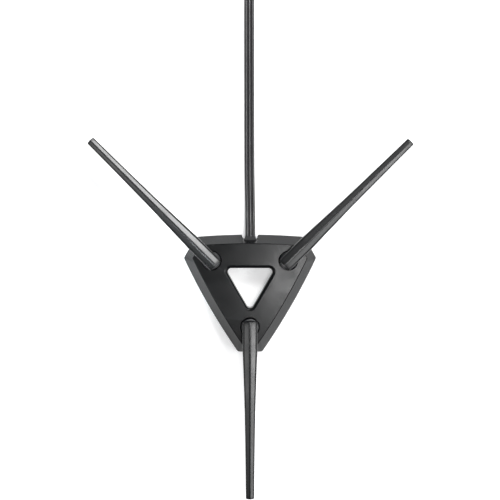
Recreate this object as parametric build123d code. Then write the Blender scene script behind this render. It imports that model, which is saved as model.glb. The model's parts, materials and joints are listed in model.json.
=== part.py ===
"""Three-antenna tabletop dock: a three-cornered base with three fold-down blades and a flat triple lead.

Millimetres. The origin is the middle of the base's underside, +Z is up, and the lead leaves towards +Y.
Corners of the base point towards 270, 30 and 150 degrees, and each corner carries one antenna.
"""
import os
from math import cos, pi, radians, sin, tan

from build123d import *

# ------------------------------------------------------------------ general
PLAY = 0.3  # between pieces that move past each other
RUNNING = 0.06  # radial clearance of a turning fit
AXIAL_PLAY = 0.08  # lengthwise clearance of a turning fit
SEAT = 0.02  # radial clearance of pieces seated in each other for good
LOOSE = 0.1  # radial clearance of a screw or connector in a plain hole
OVER = 1.0  # how far a cutter reaches past the piece it cuts

# ------------------------------------------------------------------ base outline
CORNER_ANGLES = {"front": 270, "right": 30, "left": 150}
CORNER_DISTANCE = 65.3  # from the middle to each cut-off corner
CORNER_WIDTH = 22.7  # length of the cut at each corner
SIDE_DISTANCE = 44.6  # from the middle to the bulge of each side
CORNER_ROUND = 1.2

BASE_HEIGHT = 20.0
RIM_HEIGHT = 0.8  # underside of the shell's edge above the table
WALL_HEIGHT = 4.5  # where the upright edge ends and the bevel starts
BEVEL_INSET = 8.5  # how far the bevel leans in on its way up
SHELL_WALL = 2.0

HOLE_INRADIUS = 13.4
HOLE_ROUND = 3.5
HOLE_WALL = 1.8
HOLE_CHAMFER = 2.8

# ------------------------------------------------------------------ wells and connectors
WELL_DISTANCE = 40.6
COLLAR_RADIUS = 7.8
WELL_RADIUS = COLLAR_RADIUS + 0.8
WELL_WALL = 1.4
WELL_FLOOR = 9.0  # height of the floor's upper face
WELL_FLOOR_THICKNESS = 1.8

JACK_RADIUS = 3.175  # 1/4-36 thread, outer
JACK_TOP = WELL_FLOOR + 7.8
JACK_BLOCK_RADIUS = JACK_RADIUS + 1.025
JACK_BLOCK_BOTTOM = 3.6
JACK_BACK_WALL = 1.0
JACK_BORE_RADIUS = JACK_RADIUS - 0.825
JACK_BORE_DEPTH = 3.0
DIELECTRIC_RADIUS = JACK_BORE_RADIUS - 0.45
PIN_RADIUS = 0.45
PIN_INSET = 0.6  # pin's tip below the jack's end face
HEX_FLATS = 2 * JACK_RADIUS + 1.65
WASHER_RADIUS = HEX_FLATS / 2 + 0.3
WASHER_THICKNESS = 0.6
JACK_NUT_HEIGHT = 2.0

# ------------------------------------------------------------------ plug, its zero at the jack's end face
NUT_BOTTOM = -4.8
NUT_INNER_TOP = 1.5
NUT_TOP = 2.5
SHOULDER_BOTTOM = 0.1
SHOULDER_TOP = 1.4
SHOULDER_RADIUS = JACK_RADIUS - 0.075
SHOULDER_WALL = 0.2  # closes the plug's hollow
NECK_RADIUS = JACK_RADIUS - 0.575
FERRULE_RADIUS = JACK_BORE_RADIUS - RUNNING
FERRULE_BOTTOM = -2.6
SOCKET_RADIUS = PIN_RADIUS + 0.3
SOCKET_BOTTOM = -1.6
SOCKET_END_WALL = 0.6
FEED_RADIUS = 0.93

# ------------------------------------------------------------------ swivel and tilt
COLLAR_BOTTOM = WELL_FLOOR + 0.6
COLLAR_TOP = JACK_TOP + 6.9
COLLAR_CHAMFER = 0.5
COLLAR_NUT_ROOM = 0.6  # beside the corners of the jack's own nut
COLLAR_FLUTES = 24
FLUTE_RADIUS = 0.7
FLUTE_DEPTH = 0.3
FLUTE_END = 1.0  # plain band above the flutes
KNUCKLE_RADIUS = 5.2
KNUCKLE_BOTTOM = COLLAR_TOP - 4.0
NECK_TOP = COLLAR_TOP - 0.9
SNAP_RADIUS = NECK_RADIUS + 0.7
SNAP_BOTTOM = NECK_TOP - 1.9
SNAP_THICKNESS = 0.8
TONGUE_WIDTH = 5.0
TONGUE_RADIUS = 3.0
TONGUE_ROOT = 0.5  # how deep the tongue starts inside the round foot
PIN_JOINT_RADIUS = 1.25
PIN_SINK = 0.2  # pin's ends below the blade's sides
FEED_TOP = NECK_TOP + 3.8

# ------------------------------------------------------------------ blades, lying out along +X
BLADE_BACK = 6.0  # inner end behind the tilt axis
BLADE_TIP = 154.0
PIVOT_HEIGHT = COLLAR_TOP + BLADE_BACK + PLAY
BLADE_STATIONS = [  # distance from the tilt axis, full width, full thickness
    (-BLADE_BACK, 13.3, 11.0),
    (22.7, 13.3, 11.0),
    (26.0, 12.9, 10.7),
    (76.6, 9.6, 8.4),
    (BLADE_TIP, 7.5, 6.0),
]
ROOF_SLOPE = 23.0  # of the two upper facets, in degrees
EAVE_WIDTH = 1.2
EAVE_DROP = 1.3
SPLIT_SHARE = 0.45  # seam's depth below the middle, as a share of half the thickness
BLADE_WALL = 1.3
CAVITY_START = 10.0
CAVITY_END = BLADE_TIP - 3.0
COVER_CAVITY_END = 118.0  # beyond it the bottom cover is too thin to be hollow
REST_AZIMUTHS = {"front": 270.0, "right": 44.4, "left": 135.1}
BOARD_START = 12.0
BOARD_LENGTH = 108.0
BOARD_THICKNESS = 0.8

# ------------------------------------------------------------------ inside the base
COVER_BOTTOM = 0.6
COVER_TOP = 3.2
PAD_TOP = 1.2
PAD_INSET = 6.0
SCREW_ANGLES = [60, 180, 300]
SCREW_DISTANCE = SIDE_DISTANCE - 13.6
BOSS_RADIUS = 3.2
SCREW_RADIUS = 1.2
SCREW_HEAD_RADIUS = 2.4
SCREW_HEAD_HEIGHT = 1.0
SCREW_LENGTH = 10.0
PILOT_SPARE = 0.5  # how much deeper a screw's hole is than the screw
COVER_GAP = 0.2
PAD_HOLE_GAP = 3.0  # from the hole's wall to the pad
MAGNET_ANGLES = [90, 210, 330]
MAGNET_RADIUS = 5.5
MAGNET_DISTANCE = HOLE_INRADIUS + HOLE_WALL + MAGNET_RADIUS + 2.3
MAGNET_THICKNESS = 2.0

# ------------------------------------------------------------------ lead
STRAND_RADIUS = 1.55
STRAND_PITCH = 2 * STRAND_RADIUS + 0.07
RIBBON_WIDTH = 2 * STRAND_PITCH + 2 * STRAND_RADIUS
LEAD_LYING_HEIGHT = STRAND_RADIUS + 0.05
NOTCH_WIDTH = RIBBON_WIDTH + 6.16
NOTCH_WALL = SIDE_DISTANCE - 3.6  # distance of the notch's back wall from the middle
NOTCH_WALL_DROP = 0.4  # top of that wall below the bevel
GROMMET_WIDTH = RIBBON_WIDTH + 2.56
GROMMET_NOSE_WIDTH = RIBBON_WIDTH + 0.96
GROMMET_TIP_WIDTH = RIBBON_WIDTH + 0.6
GROMMET_HEIGHT = 2 * STRAND_RADIUS + 1.9
GROMMET_TIP_HEIGHT = 2 * STRAND_RADIUS + 0.7
GROMMET_LIP = 0.5
GROMMET_INNER = NOTCH_WALL - 4.0
GROMMET_OUTER = NOTCH_WALL + 2.0
CLAMP_MIDDLE = NOTCH_WALL - 9.5
CLAMP_DEPTH = 5.0
CLAMP_POST_RADIUS = 2.4
CLAMP_POST_OFFSET = RIBBON_WIDTH / 2 + CLAMP_POST_RADIUS + 1.48
CLAMP_THICKNESS = 1.6
CLAMP_SCREW_RADIUS = 1.0
CLAMP_HEAD_RADIUS = 2.0
CLAMP_HEAD_HEIGHT = 0.9
CLAMP_HEAD_GAP = 0.15  # between the clamp screws' heads and the bottom cover
LEAD_EXIT_HEIGHT = COVER_TOP + CLAMP_HEAD_GAP + CLAMP_HEAD_HEIGHT + CLAMP_THICKNESS + STRAND_RADIUS
CLAMP_SCREW_TOP = LEAD_EXIT_HEIGHT + 3.5
LEAD_ROUTE = [
    (0.3, 36.0, LEAD_EXIT_HEIGHT),
    (0.28, 51.0, LEAD_EXIT_HEIGHT),
    (0.1, 71.5, LEAD_LYING_HEIGHT),
    (-0.5, 106.0, LEAD_LYING_HEIGHT),
    (-0.6, 166.0, LEAD_LYING_HEIGHT),
    (-0.75, 240.0, LEAD_LYING_HEIGHT),
    (-0.6, 290.0, LEAD_LYING_HEIGHT),
]
INNER_COAX_LOW = JACK_BLOCK_BOTTOM + 1.75  # height at which the inner strands meet the jacks

COIL_ENTRY_RADIUS = 59.0
COIL_END_RADIUS = 52.0
COIL_BOTTOM = 1.0
COIL_HEIGHT = RIBBON_WIDTH + 0.26
COIL_MIDDLE_Y = 331.5
COIL_EXIT_RADIUS = 30.0  # bend with which the last turn leaves towards the inside
COIL_EXIT_TURN = 105.0
TIE_WIDTH = 12.0
TIE_THICKNESS = 0.8
TIE_SLACK = 0.4  # between the strap and each side of the coil
SPLITTER_LENGTH = 10.0
SPLITTER_WIDTH = 6.0
SPLITTER_WALL = 0.6
SPLITTER_ROUND = 1.5
TAIL_SPREAD = 10.0
TAIL_STEPS = [0.0, 7.0, 19.0, 28.0]  # along the tail, from the splitter to the plug body
TAIL_HEIGHT = 4.75
CRIMP_RADIUS = STRAND_RADIUS + 0.95
CRIMP_LENGTH = 4.8
LEAD_NECK_LENGTH = 4.4


# ------------------------------------------------------------------ small helpers
def polar(radius, angle, height=0.0):
    return Vector(radius * cos(radians(angle)), radius * sin(radians(angle)), height)


def disc_stack(radius, bottom, top):
    """A plain upright cylinder between two heights."""
    return Pos(0, 0, bottom) * Cylinder(radius, top - bottom, align=(Align.CENTER, Align.CENTER, Align.MIN))


def hexagon(flats, bottom, top):
    return Pos(0, 0, bottom) * extrude(RegularPolygon(flats / 2, 6, major_radius=False), top - bottom)


def block(low, high):
    """A box between two opposite corners."""
    size = [b - a for a, b in zip(low, high)]
    return Pos(*low) * Box(*size, align=(Align.MIN, Align.MIN, Align.MIN))


def tube_along(points, radius):
    """A round tube along straight runs joined by arcs, and the radii of those arcs."""
    corners = [Vector(*p) for p in points]
    radii = []
    for before, corner, after in zip(corners, corners[1:], corners[2:]):
        turn = (corner - before).get_angle(after - corner)
        shorter = min((corner - before).length, (after - corner).length)
        radii.append(0.45 * shorter / tan(radians(turn) / 2))
    path = FilletPolyline(*corners, radius=radii)
    start = Plane(path @ 0, z_dir=path % 0)
    return sweep(start * Circle(radius), path=path), radii, path.length


def write(name, shape):
    export_step(shape, f"parts/{name}.step")


# ------------------------------------------------------------------ base outline
def outline(inset):
    """The base's plan: three bowed sides and three cut corners, moved inwards by inset."""
    half_cut = CORNER_WIDTH / 2 - inset * tan(radians(30))
    reach = CORNER_DISTANCE - inset
    angles = sorted(CORNER_ANGLES.values())
    edges = []
    for angle in angles:
        side = Vector(-sin(radians(angle)), cos(radians(angle)))
        start = polar(reach, angle) - side * half_cut
        end = polar(reach, angle) + side * half_cut
        following = polar(reach, angle + 120) - Vector(
            -sin(radians(angle + 120)), cos(radians(angle + 120))
        ) * half_cut
        edges.append(Line(start, end))
        edges.append(ThreePointArc(end, polar(SIDE_DISTANCE - inset, angle + 60), following))
    face = make_face(Curve() + edges)
    return fillet(face.vertices(), CORNER_ROUND)


def bevelled_block(inset, bottom, top):
    """The base's outer form: an upright edge, then a bevel, shrunk all round by inset."""
    lean = BEVEL_INSET * (top - WALL_HEIGHT) / (BASE_HEIGHT - WALL_HEIGHT)
    foot = Pos(0, 0, bottom) * extrude(outline(inset), WALL_HEIGHT - bottom)
    slope = loft([Pos(0, 0, WALL_HEIGHT) * outline(inset), Pos(0, 0, top) * outline(inset + lean)])
    return foot + slope


def rounded_triangle(inradius, rounding):
    plan = RegularPolygon(inradius, 3, major_radius=False, rotation=30)
    return fillet(plan.vertices(), rounding)


def triangle_prism(inradius, rounding, bottom, top):
    return Pos(0, 0, bottom) * extrude(rounded_triangle(inradius, rounding), top - bottom)


# ------------------------------------------------------------------ base pieces
def top_shell():
    inner_top = BASE_HEIGHT - SHELL_WALL
    shell = bevelled_block(0, RIM_HEIGHT, BASE_HEIGHT)
    shell -= bevelled_block(SHELL_WALL, RIM_HEIGHT - OVER, inner_top)
    shell += triangle_prism(HOLE_INRADIUS + HOLE_WALL, HOLE_ROUND + HOLE_WALL, RIM_HEIGHT, BASE_HEIGHT)
    for angle in CORNER_ANGLES.values():
        at = Location(polar(WELL_DISTANCE, angle))
        shell += at * disc_stack(WELL_RADIUS + WELL_WALL, WELL_FLOOR - WELL_FLOOR_THICKNESS, BASE_HEIGHT)
        shell -= at * disc_stack(WELL_RADIUS, WELL_FLOOR, BASE_HEIGHT + OVER)
        shell -= at * disc_stack(JACK_RADIUS + LOOSE, 0, BASE_HEIGHT)
    for angle in SCREW_ANGLES:
        at = Location(polar(SCREW_DISTANCE, angle))
        shell += at * disc_stack(BOSS_RADIUS, COVER_TOP, inner_top)
        shell -= at * disc_stack(SCREW_RADIUS + SEAT, 0, COVER_TOP + SCREW_LENGTH)
    for side in (-1, 1):
        at = Pos(side * CLAMP_POST_OFFSET, CLAMP_MIDDLE, 0)
        shell += at * disc_stack(CLAMP_POST_RADIUS, LEAD_EXIT_HEIGHT - STRAND_RADIUS, inner_top)
        shell -= at * disc_stack(CLAMP_SCREW_RADIUS + SEAT, 0, CLAMP_SCREW_TOP + PILOT_SPARE)
    shell -= triangle_prism(HOLE_INRADIUS, HOLE_ROUND, -OVER, BASE_HEIGHT + OVER)
    narrow = rounded_triangle(HOLE_INRADIUS, HOLE_ROUND)
    wide = rounded_triangle(HOLE_INRADIUS + HOLE_CHAMFER, HOLE_ROUND + HOLE_CHAMFER)
    shell -= loft([Pos(0, 0, BASE_HEIGHT - HOLE_CHAMFER) * narrow, Pos(0, 0, BASE_HEIGHT) * wide])
    return shell - notch_space() + notch_wall() - grommet_slot()


def notch_space():
    """The slot at the middle of the far side through which the lead leaves."""
    half = NOTCH_WIDTH / 2
    return block((-half, NOTCH_WALL, -OVER), (half, SIDE_DISTANCE + OVER, BASE_HEIGHT))


def notch_wall():
    """The wall behind that slot, down to the shell's edge."""
    half = NOTCH_WIDTH / 2
    lean = BEVEL_INSET / (BASE_HEIGHT - WALL_HEIGHT)
    top = WALL_HEIGHT + (SIDE_DISTANCE - NOTCH_WALL) / lean - NOTCH_WALL_DROP
    wall = block((-half, NOTCH_WALL - SHELL_WALL, RIM_HEIGHT), (half, NOTCH_WALL, top))
    for side in (-1, 1):
        near = side * half
        far = side * (half + SHELL_WALL)
        low = (min(near, far), NOTCH_WALL - SHELL_WALL, RIM_HEIGHT)
        wall += block(low, (max(near, far), SIDE_DISTANCE - SHELL_WALL / 2, WALL_HEIGHT))
    return wall


def grommet_slot():
    half = GROMMET_WIDTH / 2
    low = (-half, NOTCH_WALL - SHELL_WALL - OVER, LEAD_EXIT_HEIGHT - GROMMET_HEIGHT / 2)
    return block(low, (half, NOTCH_WALL + OVER, LEAD_EXIT_HEIGHT + GROMMET_HEIGHT / 2))


def ribbon_space(start, end):
    """A flat round-edged bar as wide as the three strands, along Y."""
    plan = SlotOverall(RIBBON_WIDTH, 2 * STRAND_RADIUS)
    profile = Pos(LEAD_ROUTE[0][0], end, LEAD_EXIT_HEIGHT) * Rot(90, 0, 0) * plan
    return extrude(profile, end - start)


def notch_room(start):
    """What the notch and its walls take out of the pieces below the shell, from start outwards."""
    half = NOTCH_WIDTH / 2 + SHELL_WALL + OVER
    return block((-half, start, -OVER), (half, SIDE_DISTANCE + OVER, COVER_TOP + OVER))


def bottom_cover():
    cover = Pos(0, 0, COVER_BOTTOM) * extrude(outline(SHELL_WALL + COVER_GAP), COVER_TOP - COVER_BOTTOM)
    hole = HOLE_WALL + COVER_GAP
    cover -= triangle_prism(HOLE_INRADIUS + hole, HOLE_ROUND + hole, -OVER, COVER_TOP + OVER)
    cover -= notch_room(NOTCH_WALL - SHELL_WALL - COVER_GAP)
    cover -= foot_pad()
    for angle in SCREW_ANGLES:
        at = Location(polar(SCREW_DISTANCE, angle))
        cover -= at * disc_stack(SCREW_RADIUS + LOOSE, 0, COVER_TOP + OVER)
        cover -= at * disc_stack(SCREW_HEAD_RADIUS + LOOSE, 0, PAD_TOP + SCREW_HEAD_HEIGHT)
    return cover


def foot_pad():
    pad = extrude(outline(PAD_INSET), PAD_TOP)
    hole = HOLE_WALL + PAD_HOLE_GAP
    pad -= triangle_prism(HOLE_INRADIUS + hole, HOLE_ROUND + hole, -OVER, PAD_TOP + OVER)
    return pad - notch_room(NOTCH_WALL - PAD_INSET)


def magnets():
    disc = disc_stack(MAGNET_RADIUS, COVER_TOP, COVER_TOP + MAGNET_THICKNESS)
    return [Location(polar(MAGNET_DISTANCE, angle)) * disc for angle in MAGNET_ANGLES]


def housing_screws():
    screw = disc_stack(SCREW_HEAD_RADIUS, PAD_TOP, PAD_TOP + SCREW_HEAD_HEIGHT)
    screw += disc_stack(SCREW_RADIUS, PAD_TOP, COVER_TOP + SCREW_LENGTH - PILOT_SPARE)
    return [Location(polar(SCREW_DISTANCE, angle)) * screw for angle in SCREW_ANGLES]


def cable_grommet():
    """Rubber sleeve through the notch wall, with a lip on the inner face and a tapered nose outside."""
    half = GROMMET_WIDTH / 2
    tall = GROMMET_HEIGHT / 2
    low, high = LEAD_EXIT_HEIGHT - tall, LEAD_EXIT_HEIGHT + tall
    body = block((-half, GROMMET_INNER, low), (half, NOTCH_WALL, high))
    facing = Pos(LEAD_ROUTE[0][0], 0, LEAD_EXIT_HEIGHT) * Rot(90, 0, 0)
    nose_root = Pos(0, NOTCH_WALL, 0) * facing * Rectangle(GROMMET_NOSE_WIDTH, GROMMET_HEIGHT)
    nose_tip = Pos(0, GROMMET_OUTER, 0) * facing * Rectangle(GROMMET_TIP_WIDTH, GROMMET_TIP_HEIGHT)
    body += loft([nose_root, nose_tip])
    inner_lip = (-half - GROMMET_LIP, GROMMET_INNER, low - GROMMET_LIP)
    body += block(inner_lip, (half + GROMMET_LIP, NOTCH_WALL - SHELL_WALL, high + GROMMET_LIP))
    return body - ribbon_space(GROMMET_INNER - OVER, GROMMET_OUTER + OVER)


def cable_clamp():
    """A bar that holds the three strands up against the two posts' level."""
    top = LEAD_EXIT_HEIGHT - STRAND_RADIUS
    half = CLAMP_POST_OFFSET + CLAMP_POST_RADIUS
    near = CLAMP_MIDDLE - CLAMP_DEPTH / 2
    bar = block((-half, near, top - CLAMP_THICKNESS), (half, near + CLAMP_DEPTH, top))
    for side in (-1, 1):
        hole = disc_stack(CLAMP_SCREW_RADIUS + LOOSE, 0, top + OVER)
        bar -= Pos(side * CLAMP_POST_OFFSET, CLAMP_MIDDLE, 0) * hole
    return bar


def clamp_screws():
    bar_bottom = LEAD_EXIT_HEIGHT - STRAND_RADIUS - CLAMP_THICKNESS
    screw = disc_stack(CLAMP_HEAD_RADIUS, bar_bottom - CLAMP_HEAD_HEIGHT, bar_bottom)
    screw += disc_stack(CLAMP_SCREW_RADIUS, bar_bottom, CLAMP_SCREW_TOP)
    return [Pos(side * CLAMP_POST_OFFSET, CLAMP_MIDDLE, 0) * screw for side in (-1, 1)]


def inner_coax():
    """The three strands inside the base, from the grommet through the clamp to the jacks.

    The points between are chosen by hand, clear of the hole's wall, the bosses and one another.
    """
    z = LEAD_EXIT_HEIGHT
    low = INNER_COAX_LOW
    x, y, _ = LEAD_ROUTE[0]
    left, right, front = [polar(WELL_DISTANCE, CORNER_ANGLES[name]) for name in ("left", "right", "front")]
    reach = JACK_BLOCK_RADIUS
    to_left = [(-14, left.Y, z - 0.3), (-24, left.Y, low), (left.X + reach, left.Y, low)]
    to_right = [(14, 21.4, z - 0.3), (24, right.Y, low), (right.X - reach, right.Y, low)]
    round_the_hole = [(19.5, 20.0, 10.0), (27.5, 8.5, 9.4), (19.5, -5.5, 8.4), (9.0, -21.0, 6.6)]
    to_front = [(0, -30, low), (0, front.Y + reach, low)]
    routes = [
        [(x - STRAND_PITCH, y, z), (x - STRAND_PITCH, 23, z), *to_left],
        [(x + STRAND_PITCH, y, z), (x + STRAND_PITCH, 24, z), *to_right],
        [(x, y, z), (x, 27.5, z), (x + 0.8, 22.2, 9.8), (8.0, 18.6, 10.6), *round_the_hole, *to_front],
    ]
    return [tube_along(route, STRAND_RADIUS) for route in routes]


# ------------------------------------------------------------------ jacks
def jack_body():
    body = disc_stack(JACK_BLOCK_RADIUS, JACK_BLOCK_BOTTOM, WELL_FLOOR - WELL_FLOOR_THICKNESS)
    body += disc_stack(JACK_RADIUS, JACK_BLOCK_BOTTOM, JACK_TOP)
    body -= disc_stack(DIELECTRIC_RADIUS + SEAT, JACK_BLOCK_BOTTOM + JACK_BACK_WALL, JACK_TOP)
    return body - disc_stack(JACK_BORE_RADIUS, JACK_TOP - JACK_BORE_DEPTH, JACK_TOP + OVER)


def jack_insulator():
    ring = disc_stack(DIELECTRIC_RADIUS, JACK_BLOCK_BOTTOM + JACK_BACK_WALL, JACK_TOP - JACK_BORE_DEPTH)
    return ring - disc_stack(PIN_RADIUS + SEAT, 0, JACK_TOP)


def jack_pin():
    return disc_stack(PIN_RADIUS, JACK_BLOCK_BOTTOM + JACK_BACK_WALL + SEAT, JACK_TOP - PIN_INSET)


def jack_washer():
    ring = disc_stack(WASHER_RADIUS, WELL_FLOOR, WELL_FLOOR + WASHER_THICKNESS)
    return ring - disc_stack(JACK_RADIUS + SEAT, 0, JACK_TOP)


def jack_nut():
    bottom = WELL_FLOOR + WASHER_THICKNESS
    return hexagon(HEX_FLATS, bottom, bottom + JACK_NUT_HEIGHT) - disc_stack(JACK_RADIUS + SEAT, 0, JACK_TOP)


# ------------------------------------------------------------------ plug pieces, zero at the jack's end face
def coupling_nut():
    nut = hexagon(HEX_FLATS, NUT_BOTTOM, NUT_TOP)
    nut -= disc_stack(JACK_RADIUS + RUNNING, NUT_BOTTOM - OVER, NUT_INNER_TOP)
    return nut - disc_stack(NECK_RADIUS + RUNNING, 0, NUT_TOP + OVER)


def plug_front():
    front = disc_stack(FERRULE_RADIUS, FERRULE_BOTTOM, SHOULDER_BOTTOM)
    front += disc_stack(SHOULDER_RADIUS, SHOULDER_BOTTOM, SHOULDER_TOP)
    return front


def plug_hollow():
    return disc_stack(DIELECTRIC_RADIUS, FERRULE_BOTTOM - OVER, SHOULDER_TOP - SHOULDER_WALL)


def plug_insulator():
    ring = disc_stack(DIELECTRIC_RADIUS - SEAT, SOCKET_BOTTOM, SHOULDER_TOP - SHOULDER_WALL)
    return ring - disc_stack(SOCKET_RADIUS + SEAT, SOCKET_BOTTOM - OVER, SHOULDER_TOP)


def plug_socket():
    end = SHOULDER_TOP - SHOULDER_WALL
    tube = disc_stack(SOCKET_RADIUS, SOCKET_BOTTOM, end)
    return tube - disc_stack(PIN_RADIUS + RUNNING, SOCKET_BOTTOM - OVER, end - SOCKET_END_WALL)


# ------------------------------------------------------------------ antenna pieces, +X outwards
# These are built on the well's axis.
def antenna_plug_body():
    body = Pos(0, 0, JACK_TOP) * plug_front()
    body += disc_stack(NECK_RADIUS, JACK_TOP + SHOULDER_TOP, NECK_TOP)
    body += disc_stack(SNAP_RADIUS, SNAP_BOTTOM, SNAP_BOTTOM + SNAP_THICKNESS)
    body -= Pos(0, 0, JACK_TOP) * plug_hollow()
    return body - disc_stack(FEED_RADIUS + SEAT, JACK_TOP, NECK_TOP + OVER)


def feed_coax():
    return disc_stack(FEED_RADIUS, JACK_TOP + SHOULDER_TOP - SHOULDER_WALL, FEED_TOP)


def collar():
    body = disc_stack(COLLAR_RADIUS, COLLAR_BOTTOM, COLLAR_TOP)
    body = chamfer(body.edges().group_by(Axis.Z)[-1], COLLAR_CHAMFER)
    nut_corner = HEX_FLATS / 2 / cos(pi / 6)
    body -= disc_stack(nut_corner + COLLAR_NUT_ROOM, COLLAR_BOTTOM - OVER, JACK_TOP + NUT_BOTTOM)
    body -= hexagon(HEX_FLATS, COLLAR_BOTTOM, JACK_TOP + NUT_TOP)
    body -= disc_stack(KNUCKLE_RADIUS + PLAY, JACK_TOP + NUT_TOP, COLLAR_TOP + OVER)
    flute = disc_stack(FLUTE_RADIUS, 0, COLLAR_TOP - FLUTE_END)
    flute = Pos(COLLAR_RADIUS + FLUTE_RADIUS - FLUTE_DEPTH, 0, 0) * flute
    for step in range(COLLAR_FLUTES):
        body -= Rot(0, 0, 360 * step / COLLAR_FLUTES) * flute
    return body


def along_y(radius, half_length):
    """A cylinder across the blade, centred on the tilt axis."""
    return Pos(0, 0, PIVOT_HEIGHT) * Rot(90, 0, 0) * Cylinder(radius, 2 * half_length)


def knuckle():
    body = disc_stack(KNUCKLE_RADIUS, KNUCKLE_BOTTOM, COLLAR_TOP)
    half = TONGUE_WIDTH / 2
    body += block((-TONGUE_RADIUS, -half, COLLAR_TOP - TONGUE_ROOT), (TONGUE_RADIUS, half, PIVOT_HEIGHT))
    body += along_y(TONGUE_RADIUS, half)
    body -= disc_stack(NECK_RADIUS + RUNNING, KNUCKLE_BOTTOM - OVER, NECK_TOP + AXIAL_PLAY)
    snap_top = SNAP_BOTTOM + SNAP_THICKNESS
    body -= disc_stack(SNAP_RADIUS + RUNNING, SNAP_BOTTOM - AXIAL_PLAY, snap_top + AXIAL_PLAY)
    body -= disc_stack(FEED_RADIUS + PLAY, NECK_TOP, FEED_TOP + PLAY)
    return body - along_y(PIN_JOINT_RADIUS + RUNNING, half + OVER)


def blade_size(distance):
    """Half the width and half the thickness of the blade at a distance from the tilt axis."""
    for (a, wide_a, thick_a), (b, wide_b, thick_b) in zip(BLADE_STATIONS, BLADE_STATIONS[1:]):
        if distance <= b:
            share = (distance - a) / (b - a)
            return (wide_a + (wide_b - wide_a) * share) / 2, (thick_a + (thick_b - thick_a) * share) / 2
    raise ValueError("beyond the tip")


def blade_section(distance, inset, upper):
    """One cross-section of the upper or the lower half of the blade, shrunk by inset."""
    wide, thick = blade_size(distance)
    seam = -SPLIT_SHARE * thick
    wide -= inset
    thick -= inset
    scale = wide / (BLADE_STATIONS[0][1] / 2)
    eave = wide - EAVE_WIDTH * scale
    shoulder = thick - eave * tan(radians(ROOF_SLOPE))
    if upper:
        half = [(0, thick), (eave, shoulder), (wide, shoulder - EAVE_DROP * scale), (wide, seam)]
    else:
        half = [(wide, seam), (wide, EAVE_WIDTH * scale - thick), (eave, -thick)]
    mirrored = [(-y, z) for y, z in reversed(half) if y > 0]
    points = [Vector(distance, y, PIVOT_HEIGHT + z) for y, z in half + mirrored]
    return make_face(Curve() + [Line(a, b) for a, b in zip(points, points[1:] + points[:1])])


def blade_half(inset, upper, start, end):
    """One half of the blade as ruled spans between its stations."""
    middle = [s[0] for s in BLADE_STATIONS if start < s[0] < end]
    places = [start, *middle, end]
    spans = [
        loft([blade_section(a, inset, upper), blade_section(b, inset, upper)], ruled=True)
        for a, b in zip(places, places[1:])
    ]
    body = spans[0]
    for span in spans[1:]:
        body += span
    return body


def blade_root_cut():
    """What the inner end loses: the slot for the tongue and the rounding of the lower corner."""
    half = TONGUE_WIDTH / 2 + PLAY
    reach = TONGUE_RADIUS + PLAY
    low = -BLADE_BACK - OVER
    slot = block((low, -half, PIVOT_HEIGHT + low), (reach, half, PIVOT_HEIGHT + reach))
    side = BLADE_STATIONS[0][1] / 2 + OVER
    corner = block((low, -side, PIVOT_HEIGHT + low), (0, side, PIVOT_HEIGHT))
    return slot + (corner - along_y(BLADE_BACK, side + OVER))


def blade_top_shell():
    body = blade_half(0, True, -BLADE_BACK, BLADE_TIP)
    body -= blade_half(BLADE_WALL, True, CAVITY_START, CAVITY_END)
    return body - blade_root_cut() - along_y(PIN_JOINT_RADIUS + SEAT, BLADE_STATIONS[0][1])


def blade_bottom_cover():
    body = blade_half(0, False, -BLADE_BACK, BLADE_TIP)
    body -= blade_half(BLADE_WALL, False, CAVITY_START, COVER_CAVITY_END)
    return body - blade_root_cut()


def hinge_pin():
    return along_y(PIN_JOINT_RADIUS, BLADE_STATIONS[0][1] / 2 - PIN_SINK)


def radiator_board():
    """A thin printed strip on the seam's level, as wide as the blade's inside."""
    end = BOARD_START + BOARD_LENGTH
    stations = [BOARD_START, *[s[0] for s in BLADE_STATIONS if BOARD_START < s[0] < end], end]
    right = [Vector(x, blade_size(x)[0] - BLADE_WALL - SEAT, PIVOT_HEIGHT) for x in stations]
    left = [Vector(p.X, -p.Y, p.Z) for p in reversed(right)]
    points = right + left
    plan = make_face(Curve() + [Line(a, b) for a, b in zip(points, points[1:] + points[:1])])
    return Pos(0, 0, -BOARD_THICKNESS / 2) * extrude(plan, BOARD_THICKNESS, dir=(0, 0, 1))


# ------------------------------------------------------------------ the lead's coil and plugs
def coil_middle():
    return Vector(LEAD_ROUTE[-1][0] + COIL_ENTRY_RADIUS, COIL_MIDDLE_Y, 0)


def lead_coil():
    """The outer form of the wound lead, with the stretch where it turns onto its edge."""
    top = COIL_BOTTOM + COIL_HEIGHT
    outer = COIL_ENTRY_RADIUS + STRAND_RADIUS
    ring = disc_stack(outer, COIL_BOTTOM, top) - disc_stack(COIL_END_RADIUS - STRAND_RADIUS, 0, top + OVER)
    ring = Location(coil_middle()) * ring
    x, y, _ = LEAD_ROUTE[-1]
    half = RIBBON_WIDTH / 2
    entry = block((x - half, y, 0), (x + half, COIL_MIDDLE_Y, top))
    entry -= Location(coil_middle()) * disc_stack(COIL_ENTRY_RADIUS, -OVER, top + OVER)
    return ring + entry + coil_exit()


def exit_arc():
    """Where the last turn's inward bend has its middle, and where and in which direction it ends."""
    bend = coil_middle() + Vector(0, COIL_END_RADIUS - COIL_EXIT_RADIUS)
    heading = -COIL_EXIT_TURN
    end = bend + polar(COIL_EXIT_RADIUS, 90 - COIL_EXIT_TURN)
    return bend, end, heading


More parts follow.
